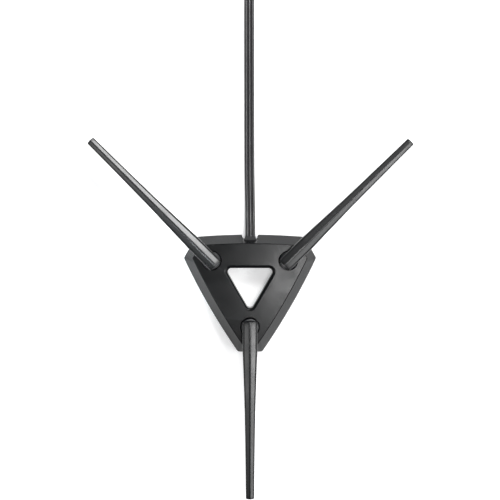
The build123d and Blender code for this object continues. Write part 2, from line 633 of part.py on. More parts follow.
def coil_exit():
    """The bend that leads the end of the cable from the last turn to the inside of the ring."""
    bend, _, _ = exit_arc()
    top = COIL_BOTTOM + COIL_HEIGHT
    band = disc_stack(COIL_EXIT_RADIUS + STRAND_RADIUS, COIL_BOTTOM, top)
    band -= disc_stack(COIL_EXIT_RADIUS - STRAND_RADIUS, 0, top + OVER)
    rim = COIL_EXIT_RADIUS + STRAND_RADIUS + OVER
    first = block((0, 0, 0), (rim, rim, top + OVER))
    turned = Rot(0, 0, 90 - COIL_EXIT_TURN) * first
    return Location(bend) * (band & (first + turned))


def coil_tie():
    """A strap round the ring's section, opposite to where the lead arrives."""
    width = COIL_ENTRY_RADIUS - COIL_END_RADIUS + 2 * STRAND_RADIUS + 2 * TIE_SLACK
    middle = (COIL_ENTRY_RADIUS + COIL_END_RADIUS) / 2
    outer = Box(width + 2 * TIE_THICKNESS, TIE_WIDTH, COIL_HEIGHT + 2 * TIE_THICKNESS)
    inner = Box(width, TIE_WIDTH + OVER, COIL_HEIGHT)
    ring = outer - inner
    return Location(coil_middle()) * Pos(middle, 0, COIL_BOTTOM + COIL_HEIGHT / 2) * ring


def end_frame():
    """A frame at the cable's end: +X runs on along it, the zero height is the table."""
    _, end, heading = exit_arc()
    return Location(end) * Rot(0, 0, heading)


def splitter_boot():
    """The moulded piece in which the flat cable parts into three tails."""
    middle = COIL_BOTTOM + COIL_HEIGHT / 2
    half = SPLITTER_WIDTH / 2
    tall = RIBBON_WIDTH / 2 + SPLITTER_WALL
    boot = block((0, -half, middle - tall), (SPLITTER_LENGTH, half, middle + tall))
    return end_frame() * fillet(boot.edges().filter_by(Axis.X), SPLITTER_ROUND)


def tail_routes():
    middle = COIL_BOTTOM + COIL_HEIGHT / 2
    routes = []
    for k in (-1, 0, 1):
        height = middle + k * STRAND_PITCH
        aside = k * TAIL_SPREAD
        near, bend, straight, end = [SPLITTER_LENGTH + step for step in TAIL_STEPS]
        leaving = [(near, 0, height), (bend, 0, height)]
        routes.append([*leaving, (straight, aside, TAIL_HEIGHT), (end, aside, TAIL_HEIGHT)])
    return routes


def lead_tails():
    return [tube_along(route, STRAND_RADIUS) for route in tail_routes()]


def plug_place(k):
    """Where tail k's plug starts, with the plug's zero face turned away from the tail."""
    end = tail_routes()[k + 1][-1]
    face = end[0] + LEAD_NECK_LENGTH + SHOULDER_TOP
    return end_frame() * Pos(face, end[1], end[2]) * Rot(0, -90, 0)


def lead_plug_body():
    body = plug_front() + disc_stack(NECK_RADIUS, SHOULDER_TOP, SHOULDER_TOP + LEAD_NECK_LENGTH)
    return body - plug_hollow()


def crimp_sleeve():
    bottom = SHOULDER_TOP + LEAD_NECK_LENGTH
    ring = disc_stack(CRIMP_RADIUS, bottom, bottom + CRIMP_LENGTH)
    return ring - disc_stack(STRAND_RADIUS + SEAT, bottom - OVER, bottom + CRIMP_LENGTH + OVER)


# ------------------------------------------------------------------ writing the pieces
def write_base():
    write("top_shell", top_shell())
    write("bottom_cover", bottom_cover())
    write("foot_pad", foot_pad())
    write("magnets", Compound(children=magnets()))
    write("housing_screws", Compound(children=housing_screws()))
    write("cable_grommet", cable_grommet())
    write("cable_clamp", cable_clamp())
    write("clamp_screws", Compound(children=clamp_screws()))
    strands = inner_coax()
    write("inner_coax", Compound(children=[tube for tube, _, _ in strands]))
    for _, radii, length in strands:
        print("inner strand", round(length, 1), "mm, bends", [round(r, 1) for r in radii])


def write_jacks():
    wells = [Location(polar(WELL_DISTANCE, angle)) for angle in CORNER_ANGLES.values()]
    pieces = {
        "jack_bodies": jack_body(),
        "jack_insulators": jack_insulator(),
        "jack_pins": jack_pin(),
        "jack_washers": jack_washer(),
        "jack_nuts": jack_nut(),
    }
    for name, piece in pieces.items():
        write(name, Compound(children=[well * piece for well in wells]))


def write_antennas():
    mated = Pos(0, 0, JACK_TOP)
    pieces = {
        "collar": collar(),
        "coupling_nut": mated * coupling_nut(),
        "plug_body": antenna_plug_body(),
        "plug_insulator": mated * plug_insulator(),
        "plug_socket": mated * plug_socket(),
        "feed_coax": feed_coax(),
        "knuckle": knuckle(),
        "hinge_pin": hinge_pin(),
        "blade_top_shell": blade_top_shell(),
        "blade_bottom_cover": blade_bottom_cover(),
        "radiator_board": radiator_board(),
    }
    for corner, angle in CORNER_ANGLES.items():
        place = Location(polar(WELL_DISTANCE, angle)) * Rot(0, 0, REST_AZIMUTHS[corner])
        for name, piece in pieces.items():
            write(f"{corner}_{name}", place * piece)


def write_lead():
    middle, radii, length = tube_along(LEAD_ROUTE, STRAND_RADIUS)
    strands = [Pos(k * STRAND_PITCH, 0, 0) * middle for k in (-1, 0, 1)]
    write("lead_run", Compound(children=strands))
    print("lead run", round(length, 1), "mm, bends", [round(r, 1) for r in radii])
    expected = pi * STRAND_RADIUS**2 * length
    print("lead strand volume", round(middle.volume, 1), "expected", round(expected, 1))
    write("lead_coil", lead_coil())
    write("lead_coil_tie", coil_tie())
    write("lead_splitter", splitter_boot())
    tails = lead_tails()
    write("lead_tails", Compound(children=[end_frame() * tube for tube, _, _ in tails]))
    for _, radii, length in tails:
        print("tail", round(length, 1), "mm, bends", [round(r, 1) for r in radii])
    places = [plug_place(k) for k in (-1, 0, 1)]
    for number, place in enumerate(places, 1):
        write(f"lead_plug_nut_{number}", place * coupling_nut())
    groups = {
        "lead_plug_bodies": lead_plug_body(),
        "lead_plug_insulators": plug_insulator(),
        "lead_plug_sockets": plug_socket(),
        "lead_crimp_sleeves": crimp_sleeve(),
    }
    for name, piece in groups.items():
        write(name, Compound(children=[place * piece for place in places]))


os.makedirs("parts", exist_ok=True)
write_base()
write_jacks()
write_antennas()
write_lead()
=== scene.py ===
"""Materials, refined surfaces, lead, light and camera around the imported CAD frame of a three-antenna dock.

Shapes are worked out in millimetres in the CAD's own frame: the origin is the middle of the base's
underside, +Z is up, and the lead leaves towards +Y. Each surface is made of rings of points joined by quads.
"""
import json

import bmesh
import bpy
import numpy as np
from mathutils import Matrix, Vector
from mathutils.geometry import delaunay_2d_cdt


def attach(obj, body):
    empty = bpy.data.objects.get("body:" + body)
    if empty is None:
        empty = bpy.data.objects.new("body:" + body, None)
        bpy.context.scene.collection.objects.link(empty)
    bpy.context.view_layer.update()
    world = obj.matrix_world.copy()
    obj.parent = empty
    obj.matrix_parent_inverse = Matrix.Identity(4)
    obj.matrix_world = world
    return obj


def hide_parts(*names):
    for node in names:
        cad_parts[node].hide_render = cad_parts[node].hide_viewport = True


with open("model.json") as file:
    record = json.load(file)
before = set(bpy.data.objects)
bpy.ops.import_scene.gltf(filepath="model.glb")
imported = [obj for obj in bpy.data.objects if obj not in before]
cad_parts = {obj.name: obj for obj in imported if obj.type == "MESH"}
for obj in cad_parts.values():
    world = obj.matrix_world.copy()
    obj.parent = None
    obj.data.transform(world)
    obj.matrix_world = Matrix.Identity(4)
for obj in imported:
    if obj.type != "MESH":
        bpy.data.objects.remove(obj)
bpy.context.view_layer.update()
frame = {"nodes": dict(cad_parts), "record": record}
MM = 0.001

# ------------------------------------------------------------------ sizes in mm, as in the part's source
# each antenna's name, with the angle its well stands at and the angle its blade points at
CORNERS = {"front": (270.0, 270.0), "right": (30.0, 44.4), "left": (150.0, 135.1)}
CORNER_ANGLES = np.radians([30.0, 150.0, 270.0])
CORNER_DISTANCE = 65.3
CORNER_WIDTH = 22.7
SIDE_DISTANCE = 44.6
BASE_TOP = 20.0
BASE_RIM = 0.8
WALL_TOP = 4.5
BEVEL_INSET = 8.5
SHELL_WALL = 2.0
HOLE_INRADIUS = 13.4
HOLE_ROUND = 3.5
HOLE_RIM = 2.8
WELL_DISTANCE = 40.6
WELL_RADIUS = 8.6
WELL_WALL = 1.4
WELL_FLOOR = 9.0
WELL_UNDERSIDE = 7.2
HOLE_WALL = 1.8
CEILING = 18.0
JACK_HOLE_RADIUS = 3.275
NOTCH_HALF = 7.8
NOTCH_WALL = 41.0
COLLAR_RADIUS = 7.8
COLLAR_BORE_RADIUS = 4.8
COLLAR_BOTTOM = 9.6
COLLAR_SHELF = 19.4  # where the collar's bore widens for the knuckle's foot
COLLAR_TOP = 23.7
COLLAR_FLUTES = 24
KNUCKLE_RADIUS = 5.2
KNUCKLE_BOTTOM = 19.7
PIVOT = 30.0
BLADE_BACK = -6.0
BLADE_TIP = 154.0
BLADE_STATIONS = np.array([(-6.0, 13.3, 11.0), (22.7, 13.3, 11.0), (27.0, 12.9, 10.7), (52.0, 11.15, 9.5),
                           (76.6, 9.6, 8.4), (98.0, 8.85, 7.6), (125.0, 8.1, 6.8), (154.0, 7.5, 6.0)])
TONGUE_HALF = 2.5
TONGUE_RADIUS = 3.0
PIN_RADIUS = 1.25
PLAY = 0.3
ROOF_SLOPE = 23.0  # of the blade's two upper facets, in degrees
SEAM_SHARE = 0.45  # how far below the blade's middle its seam lies, as a share of half the thickness
SEAM_GAP = 0.06  # half the gap between the blade's halves
BLADE_EDGE = 1.2  # how far the narrow slanted faces at the blade's sides reach in
EAVE_DROP = 1.3
BACK_ROUND = 0.5
TIP_ROUND = 0.8
ROOT_ROUND = 6.0

STRAND_RADIUS = 1.55
STRAND_PITCH = 3.17
LEAD_EXIT = (0.3, 36.0, 7.4)
LEAD_ROUTE = [LEAD_EXIT, (0.28, 51.0, 7.4), (0.1, 71.5, 1.6), (-0.5, 106.0, 1.6), (-0.6, 166.0, 1.6),
              (-0.75, 240.0, 1.6), (-0.6, 290.0, 1.6)]
FLAT_END = LEAD_ROUTE[-1][1]  # from here on the lead turns onto its edge
FLAT_TURN_LENGTH = 44.0
COIL_ENTRY = [(-0.6, 303.0, 2.6), (-0.6, 318.0, 4.9)]
COIL_ENTRY_RADIUS = 59.0
COIL_END_RADIUS = 52.0
COIL_LEVEL = 5.85
COIL_MIDDLE = np.array([-0.6 + COIL_ENTRY_RADIUS, 331.5])
COIL_TURNS = 2.25
COIL_STEPS = 20  # control points in each turn
EXIT_RADIUS = 30.0
EXIT_TURN = 105.0
EXIT_STEPS = 5
SPLITTER_LENGTH = 10.0
TAIL_STEPS = (0.0, 7.0, 19.0, 28.0)
TAIL_SPREAD = 10.0
TAIL_HEIGHT = 4.75


# ------------------------------------------------------------------ camera
CAMERA_PLACE = (0.0, 0.0301, 0.685)
CAMERA_LENS = 52.2
CAMERA_SENSOR = 36.0


def add_camera():
    """Straight down, from above a point 30 mm behind the base's middle."""
    data = bpy.data.cameras.new("camera")
    data.lens = CAMERA_LENS
    data.sensor_width = CAMERA_SENSOR
    data.clip_start = 0.01
    data.clip_end = 20.0
    camera = bpy.data.objects.new("camera", data)
    camera.location = CAMERA_PLACE
    bpy.context.collection.objects.link(camera)
    bpy.context.scene.camera = camera


add_camera()


# ------------------------------------------------------------------ mesh helpers
def joined_rings(grids):
    """The points of several grids, and quads between neighbouring rings of each, closed all the way round."""
    blocks, quads, first = [], [], 0
    for grid in grids:
        rows, columns = grid.shape[:2]
        row = np.arange(rows - 1)[:, None] * columns
        column = np.arange(columns)[None, :]
        after = (column + 1) % columns
        corners = [row + column, row + after, row + columns + after, row + columns + column]
        blocks.append(grid.reshape(-1, 3))
        quads.append(np.stack(corners, -1).reshape(-1, 4) + first)
        first += rows * columns
    return np.concatenate(blocks), np.concatenate(quads).tolist()


def surface(name, grids, material, body, sharp=35.0, faces=(), points=(), weld=1e-6):
    """One welded mesh of several grids of points in mm, and of loose faces on points of their own.

    Faces are turned outwards, and edges are sharp past an angle.
    """
    corners, polygons = joined_rings(grids)
    if len(points):
        polygons += [[len(corners) + i for i in face] for face in faces]
        corners = np.concatenate([corners, points])
    mesh = bpy.data.meshes.new(name)
    mesh.from_pydata((corners * MM).tolist(), [], polygons)
    finish_mesh(mesh, sharp, weld)
    return place_piece(name, mesh, material, body)


def keep_flat(mesh, height):
    """Draws the faces that lie level at a height as flat, whatever bends meet them."""
    points = np.empty(3 * len(mesh.vertices))
    mesh.vertices.foreach_get("co", points)
    level = np.abs(points.reshape(-1, 3)[:, 2] - height * MM) < 1e-7
    for polygon in mesh.polygons:
        if level[list(polygon.vertices)].all():
            polygon.use_smooth = False


def finish_mesh(mesh, sharp, weld=1e-6):
    """Welds points closer than weld metres, turns faces outwards and shades smooth up to a sharp angle."""
    work = bmesh.new()
    work.from_mesh(mesh)
    bmesh.ops.remove_doubles(work, verts=work.verts, dist=weld)
    bmesh.ops.dissolve_degenerate(work, dist=weld / 2, edges=work.edges)
    bmesh.ops.recalc_face_normals(work, faces=work.faces)
    work.to_mesh(mesh)
    work.free()
    mesh.shade_smooth()
    mesh.set_sharp_from_angle(angle=np.radians(sharp))


def place_piece(name, mesh, material, body):
    """An object of the mesh that moves with a body of the frame."""
    piece = bpy.data.objects.new(name, mesh)
    bpy.context.collection.objects.link(piece)
    mesh.materials.append(material)
    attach(piece, body)
    return piece


def cut_away(piece, cutters, sharp):
    """Takes the cutters' solids out of a piece and leaves a plain mesh."""
    for cutter in cutters:
        change = piece.modifiers.new("cut", "BOOLEAN")
        change.operation = "DIFFERENCE"
        change.solver = "EXACT"
        change.object = cutter
    graph = bpy.context.evaluated_depsgraph_get()
    mesh = bpy.data.meshes.new_from_object(piece.evaluated_get(graph))
    piece.modifiers.clear()
    material = piece.data.materials[0]
    piece.data = mesh
    mesh.materials.clear()
    mesh.materials.append(material)
    finish_mesh(mesh, sharp, 2e-6)
    for cutter in cutters:
        bpy.data.objects.remove(cutter)


def plain_solid(name, grid):
    """A closed helper solid that only cuts."""
    points, quads = joined_rings([grid])
    mesh = bpy.data.meshes.new(name)
    mesh.from_pydata((points * MM).tolist(), [], quads)
    finish_mesh(mesh, 30)
    solid = bpy.data.objects.new(name, mesh)
    bpy.context.collection.objects.link(solid)
    return solid


def capped(rings):
    """Rings with a closing point added in the middle of the first and of the last one."""
    rings = np.asarray(rings, float)
    ends = [np.broadcast_to(rings[k].mean(0), rings[k].shape)[None] for k in (0, -1)]
    return np.concatenate([ends[0], rings, ends[1]])


def turned(profile, steps=96, wobble=None):
    """A profile of (radius, height) turned about the upright axis, its radius changed by wobble(angle, row).

    The result is one ring for each point of the profile.
    """
    profile = np.asarray(profile, float)
    angle = np.linspace(0, 2 * np.pi, steps, endpoint=False)[None, :]
    radius = np.repeat(profile[:, :1], steps, 1)
    if wobble is not None:
        radius = radius + wobble(angle, np.arange(len(profile))[:, None])
    height = np.repeat(profile[:, 1:], steps, 1)
    return np.stack([radius * np.cos(angle), radius * np.sin(angle), height], -1)


def bend_corners(corners, radii, steps):
    """Rings of rounded polygons: each corner becomes a parabolic bend that starts and ends a radius away.

    corners is (rings, corners, 2). The bend's reach is cut to 0.45 of the shorter side beside it.
    """
    before = np.roll(corners, 1, 1) - corners
    after = np.roll(corners, -1, 1) - corners
    length_before = np.linalg.norm(before, axis=-1, keepdims=True)
    length_after = np.linalg.norm(after, axis=-1, keepdims=True)
    reach = np.minimum(radii[..., None], 0.45 * np.minimum(length_before, length_after))
    start = corners + before / length_before * reach
    end = corners + after / length_after * reach
    u = np.linspace(0, 1, steps)[:, None]
    bend = (1 - u) ** 2 * start[:, :, None] + 2 * u * (1 - u) * corners[:, :, None] + u**2 * end[:, :, None]
    return bend.reshape(len(corners), -1, 2)


def bent_profile(corners, radii, steps=6, guard=0.12):
    """A profile through corners, with each inner corner bent over its radius.

    A bend is corner + radius * (back * (1 - u)^2 + on * u^2), where back and on point along the two sides.
    A guard point before and after each bend keeps its shading off the flat stretches.
    """
    corners = np.asarray(corners, float)
    u = np.linspace(0, 1, steps)[:, None]
    profile = [corners[:1]]
    for before, corner, after, radius in zip(corners, corners[1:], corners[2:], radii):
        back = (before - corner) / np.linalg.norm(before - corner)
        on = (after - corner) / np.linalg.norm(after - corner)
        bend = corner + radius * (back * (1 - u) ** 2 + on * u**2)
        profile += [bend[:1] + back * guard, bend, bend[-1:] + on * guard]
    return np.concatenate(profile + [corners[-1:]])


def quarter(radius, steps):
    """(in, up) offsets of a quarter circle from a wall over to the face across its end."""
    angle = np.linspace(0, np.pi / 2, steps)
    return np.stack([radius * (1 - np.cos(angle)), radius * np.sin(angle)], -1)


def well_middle(corner):
    well = np.radians(CORNERS[corner][0])
    return WELL_DISTANCE * np.array([np.cos(well), np.sin(well), 0.0])


def place(points, corner):
    """Points from an antenna's own frame, on its well's axis with +X along the blade, to the dock's frame."""
    turn = np.radians(CORNERS[corner][1])
    rotation = np.array([[np.cos(turn), -np.sin(turn), 0], [np.sin(turn), np.cos(turn), 0], [0, 0, 1]])
    return np.asarray(points, float) @ rotation.T + well_middle(corner)


def upright_ring(across, along_y):
    """A ring of points (x, z) stood up at a place along Y."""
    return np.column_stack([across[:, 0], np.full(len(across), along_y), across[:, 1]])


# ------------------------------------------------------------------ materials
EDGE_WEAR = (0.56, 0.68)  # pointiness at which an edge starts to be rubbed, and at which it is rubbed fully
PLASTIC_GRAIN = 0.00002  # height of the mould's grain, in metres
FINE_BUMP = 0.00001
WEAVE_HEIGHT = 0.0001
TURNING_STRETCH = (1.0, 1.0, 8.0)  # draws the noise out into marks round the Z axis


def new_material(name, color, roughness, metallic=0.0, specular=0.5):
    """A plain material, with the parts of its node tree that the finishes below build on."""
    material = bpy.data.materials.new(name)
    material.use_nodes = True
    shader = material.node_tree.nodes["Principled BSDF"]
    shader.inputs["Base Color"].default_value = (*color, 1)
    shader.inputs["Roughness"].default_value = roughness
    shader.inputs["Metallic"].default_value = metallic
    shader.inputs["Specular IOR Level"].default_value = specular
    return material, material.node_tree.nodes, material.node_tree.links, shader


def noise(nodes, links, scale, detail, source, stretch=None):
    """Noise on the object's own coordinates, in cycles per metre, stretched along the axes if asked."""
    texture = nodes.new("ShaderNodeTexNoise")
    texture.inputs["Scale"].default_value = scale
    texture.inputs["Detail"].default_value = detail
    if stretch is not None:
        mapping = nodes.new("ShaderNodeMapping")
        mapping.inputs["Scale"].default_value = stretch
        links.new(source, mapping.inputs["Vector"])
        source = mapping.outputs["Vector"]
    links.new(source, texture.inputs["Vector"])
    return texture.outputs["Fac"]


def ranged(nodes, links, value, low, high, from_low=0.3, from_high=0.7):
    """The value's range from from_low to from_high stretched to low and high, and held level beyond."""
    change = nodes.new("ShaderNodeMapRange")
    change.inputs["From Min"].default_value = from_low
    change.inputs["From Max"].default_value = from_high
    change.inputs["To Min"].default_value = low
    change.inputs["To Max"].default_value = high
    links.new(value, change.inputs["Value"])
    return change.outputs["Result"]


def bumped(nodes, links, shader, heights):
    """Bumps laid one over another: each is (height value, distance in metres, strength)."""
    normal = None
    for height, distance, strength in heights:
        bump = nodes.new("ShaderNodeBump")
        bump.inputs["Distance"].default_value = distance
        bump.inputs["Strength"].default_value = strength
        links.new(height, bump.inputs["Height"])
        if normal is not None:
            links.new(normal, bump.inputs["Normal"])
        normal = bump.outputs["Normal"]
    links.new(normal, shader.inputs["Normal"])


def mixed_color(nodes, links, factor, low, high):
    """The colour low where the factor is 0 and high where it is 1."""
    mix = nodes.new("ShaderNodeMix")
    mix.data_type = "RGBA"
    mix.inputs["A"].default_value = (*low, 1)
    mix.inputs["B"].default_value = (*high, 1)
    links.new(factor, mix.inputs["Factor"])
    return mix.outputs["Result"]


def worn_edges(nodes, links):
    """A factor that rises from 0 to 1 on edges: how convex the mesh is at each point, sharpened."""
    geometry = nodes.new("ShaderNodeNewGeometry")
    return ranged(nodes, links, geometry.outputs["Pointiness"], 0.0, 1.0, *EDGE_WEAR)


def moulded_plastic(name, color, lighter, roughness, specular=0.5):
    """Spark-eroded satin plastic: a fine grain as a bump, mottled gloss and edges rubbed lighter."""
    material, nodes, links, shader = new_material(name, color, roughness, specular=specular)
    at = nodes.new("ShaderNodeTexCoord").outputs["Object"]
    fine = noise(nodes, links, 2600.0, 3.0, at)
    cloud = noise(nodes, links, 55.0, 4.0, at)
    links.new(ranged(nodes, links, cloud, roughness - 0.035, roughness + 0.045), shader.inputs["Roughness"])
    rubbed = worn_edges(nodes, links)
    links.new(mixed_color(nodes, links, rubbed, color, lighter), shader.inputs["Base Color"])
    bumped(nodes, links, shader, [(fine, PLASTIC_GRAIN, 0.5), (cloud, PLASTIC_GRAIN * 3, 0.1)])
    return material


def soft_rubber(name, color, roughness, scale=1500.0, height=0.00004, specular=0.35):
    """Rubber with a fine bump, paler where dust lies on it."""
    material, nodes, links, shader = new_material(name, color, roughness, specular=specular)
    at = nodes.new("ShaderNodeTexCoord").outputs["Object"]
    fine = noise(nodes, links, scale, 2.0, at)
    dust = noise(nodes, links, 120.0, 5.0, at)
    paler = tuple(c * 1.5 + 0.006 for c in color)
    dusty = mixed_color(nodes, links, ranged(nodes, links, dust, 0.0, 0.7), color, paler)
    links.new(dusty, shader.inputs["Base Color"])
    bumped(nodes, links, shader, [(fine, height, 0.5)])
    return material


def plated_metal(name, color, darker, roughness):
    """Plated metal with fine turning marks round the Z axis and slight tarnish."""
    material, nodes, links, shader = new_material(name, color, roughness, metallic=1.0)
    at = nodes.new("ShaderNodeTexCoord").outputs["Object"]
    marks = noise(nodes, links, 700.0, 2.0, at, TURNING_STRETCH)
    tarnish = noise(nodes, links, 180.0, 5.0, at)
    links.new(ranged(nodes, links, marks, roughness - 0.05, roughness + 0.08), shader.inputs["Roughness"])
    links.new(mixed_color(nodes, links, ranged(nodes, links, tarnish, 0.0, 1.0), color, darker),
              shader.inputs["Base Color"])
    bumped(nodes, links, shader, [(marks, FINE_BUMP, 0.4)])
    return material


def plain_polymer(name, color, roughness):
    """Unfilled plastic with a cloudy gloss."""
    material, nodes, links, shader = new_material(name, color, roughness)
    at = nodes.new("ShaderNodeTexCoord").outputs["Object"]
    cloud = noise(nodes, links, 400.0, 3.0, at)
    links.new(ranged(nodes, links, cloud, roughness - 0.05, roughness + 0.05), shader.inputs["Roughness"])
    bumped(nodes, links, shader, [(cloud, FINE_BUMP, 0.4)])
    return material


def woven_tape(name, color):
    """Hook-and-loop tape: fine ribs under a fuzz of noise."""
    material, nodes, links, shader = new_material(name, color, 0.85, specular=0.2)
    at = nodes.new("ShaderNodeTexCoord").outputs["Object"]
    ribs = nodes.new("ShaderNodeTexWave")
    ribs.inputs["Scale"].default_value = 420.0
    ribs.inputs["Distortion"].default_value = 1.5
    links.new(at, ribs.inputs["Vector"])
    fuzz = noise(nodes, links, 1800.0, 3.0, at)
    shader.inputs["Sheen Weight"].default_value = 0.4
    paler = tuple(2.4 * c for c in color)
    links.new(mixed_color(nodes, links, fuzz, color, paler), shader.inputs["Base Color"])
    bumped(nodes, links, shader, [(ribs.outputs["Fac"], WEAVE_HEIGHT, 0.6), (fuzz, WEAVE_HEIGHT, 0.5)])
    return material


def printed_board(name):
    """A board under green lacquer, a little paler in patches."""
    material, nodes, links, shader = new_material(name, (0.02, 0.12, 0.05), 0.35)
    at = nodes.new("ShaderNodeTexCoord").outputs["Object"]
    cloud = noise(nodes, links, 300.0, 3.0, at)
    lacquer = mixed_color(nodes, links, cloud, (0.015, 0.09, 0.04), (0.05, 0.2, 0.08))
    links.new(lacquer, shader.inputs["Base Color"])
    bumped(nodes, links, shader, [(cloud, FINE_BUMP, 0.4)])
    return material


SATIN_BLACK = (0.004, 0.0044, 0.0048)
SHELL_PLASTIC = moulded_plastic("shell_satin_black", SATIN_BLACK, (0.02, 0.021, 0.022), 0.21, specular=0.16)
BLADE_PLASTIC = moulded_plastic("blade_satin_black", SATIN_BLACK, (0.025, 0.026, 0.028), 0.25)
COLLAR_PLASTIC = moulded_plastic("collar_dark_grey", (0.018, 0.019, 0.021), (0.05, 0.05, 0.055), 0.32)
COVER_PLASTIC = moulded_plastic("cover_matt_black", (0.02, 0.02, 0.022), (0.04, 0.04, 0.042), 0.55)
PAD_RUBBER = soft_rubber("pad_rubber", (0.018, 0.018, 0.018), 0.75)
GROMMET_RUBBER = soft_rubber("grommet_rubber", (0.014, 0.014, 0.015), 0.6)
LEAD_JACKET = soft_rubber("lead_jacket", (0.012, 0.012, 0.013), 0.3, 900.0, 0.00001, 0.8)
FEED_JACKET = plain_polymer("feed_jacket", (0.36, 0.2, 0.09), 0.3)
PTFE = plain_polymer("ptfe_white", (0.8, 0.8, 0.77), 0.4)
GOLD = plated_metal("gold_plating", (0.9, 0.66, 0.28), (0.72, 0.5, 0.2), 0.24)
STEEL = plated_metal("zinc_steel", (0.6, 0.6, 0.6), (0.45, 0.45, 0.46), 0.34)
NICKEL = plated_metal("nickel_plating", (0.66, 0.64, 0.6), (0.5, 0.48, 0.46), 0.22)
TIE_TAPE = woven_tape("tie_tape", (0.02, 0.02, 0.021))
BOARD = printed_board("radiator_board_green")

NODE_MATERIALS = {
    "satin_black_plastic": SHELL_PLASTIC, "black_plastic": COVER_PLASTIC, "knurled_plastic": COLLAR_PLASTIC,
    "pad_rubber": PAD_RUBBER, "grommet_rubber": GROMMET_RUBBER, "lead_jacket": LEAD_JACKET,
    "feed_jacket": FEED_JACKET, "tie_nylon": TIE_TAPE, "magnet_nickel": NICKEL, "zinc_steel": STEEL,
    "gold_brass": GOLD, "crimp_metal": NICKEL, "ptfe_white": PTFE, "board_green": BOARD,
}


def dress_cad_nodes():
    """Every CAD node gets the finish of its record slot."""
    slots = {entry["node"]: entry["material_slot"] for entry in frame["record"]["subparts"]}
    for node, piece in frame["nodes"].items():
        piece.data.materials.clear()
        piece.data.materials.append(NODE_MATERIALS[slots[node]])


dress_cad_nodes()


# ------------------------------------------------------------------ the lead: route, coil and tails
def coil_points():
    """Control points from where the lead turns onto its edge, round the coil, to the splitter.

    The radius falls evenly along the turns. Control points stand outside the circle by 1 / cos of half a
    step, so that the curve's spans touch it.
    """
    steps = int(COIL_TURNS * COIL_STEPS)
    share = (np.arange(steps) + 0.5) / steps
    angle = np.pi - 2 * np.pi * COIL_TURNS * share
    radius = COIL_ENTRY_RADIUS + (COIL_END_RADIUS - COIL_ENTRY_RADIUS) * share
    radius = radius / np.cos(np.pi / COIL_STEPS)
    turns = np.stack([COIL_MIDDLE[0] + radius * np.cos(angle), COIL_MIDDLE[1] + radius * np.sin(angle)], -1)
    bend_middle, end, _ = cable_end()
    bend = np.radians(90.0 - (np.arange(EXIT_STEPS) + 0.5) * EXIT_TURN / EXIT_STEPS)
    reach = EXIT_RADIUS / np.cos(np.radians(EXIT_TURN / (2 * EXIT_STEPS)))
    leaving = np.stack([bend_middle[0] + reach * np.cos(bend), bend_middle[1] + reach * np.sin(bend)], -1)
    return COIL_ENTRY + [(x, y, COIL_LEVEL) for x, y in (*turns, *leaving, end)]


def cable_end():
    """The middle of the last bend, where the lead ends, and its direction there."""
    middle = COIL_MIDDLE + (0.0, COIL_END_RADIUS - EXIT_RADIUS)
    angle = np.radians(90.0 - EXIT_TURN)
    heading = np.radians(-EXIT_TURN)
    end = middle + EXIT_RADIUS * np.array([np.cos(angle), np.sin(angle)])
    return middle, end, np.array([np.cos(heading), np.sin(heading)])


def smooth_line(name, route, resolution):
    """Points along the quadratic NURBS curve that has the route as its control points, in mm."""
    data = bpy.data.curves.new(name, "CURVE")
    data.dimensions = "3D"
    data.resolution_u = resolution
    spline = data.splines.new("NURBS")
    spline.points.add(len(route) - 1)
    for point, at in zip(spline.points, route):
        point.co = (*[MM * value for value in at], 1.0)
    spline.order_u = 3
    spline.use_endpoint_u = True
    helper = bpy.data.objects.new(name, data)
    mesh = bpy.data.meshes.new_from_object(helper)
    points = np.empty(3 * len(mesh.vertices))
    mesh.vertices.foreach_get("co", points)
    bpy.data.objects.remove(helper)
    bpy.data.meshes.remove(mesh)
    return points.reshape(-1, 3) / MM


def directions(line):
    """Unit directions along a line of points, from each point's two neighbours."""
    along = np.gradient(line, axis=0)
    return along / np.linalg.norm(along, axis=1, keepdims=True)


def strand_rings(line, side, up, aside, steps=20):
    """Rings of one strand about a line moved aside within its own cross-section."""
    angle = np.linspace(0, 2 * np.pi, steps, endpoint=False)
    across = aside + STRAND_RADIUS * np.cos(angle)
    high = STRAND_RADIUS * np.sin(angle)
    return line[:, None] + across[None, :, None] * side[:, None] + high[None, :, None] * up[:, None]


def build_lead():
    """Three strands side by side, lying flat as far as the coil, then turned onto their edge.

    The strands stand beside the line along a side vector, which turns about the line from level to upright
    over the entry to the coil, by an angle that follows a smooth step of the distance along the line.
    """
    line = smooth_line("lead_line", LEAD_ROUTE + coil_points(), 10)
    along = directions(line)
    level = np.cross(along, (0.0, 0.0, 1.0))
    level /= np.linalg.norm(level, axis=1, keepdims=True)
    upright = np.cross(level, along)
    walked = np.concatenate([[0.0], np.cumsum(np.linalg.norm(np.diff(line, axis=0), axis=1))])
    start = walked[np.argmax(line[:, 1] > FLAT_END)]
    share = np.clip((walked - start) / FLAT_TURN_LENGTH, 0, 1)
    turn = np.pi / 2 * share**2 * (3 - 2 * share)
    side = level * np.cos(turn)[:, None] + upright * np.sin(turn)[:, None]
    up = upright * np.cos(turn)[:, None] - level * np.sin(turn)[:, None]
    grids = [capped(strand_rings(line, side, up, k * STRAND_PITCH)) for k in (-1, 0, 1)]
    lead = surface("lead_flat_triple", grids, LEAD_JACKET, "base", sharp=50)
    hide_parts("lead_run", "lead_coil")
    return lead, line


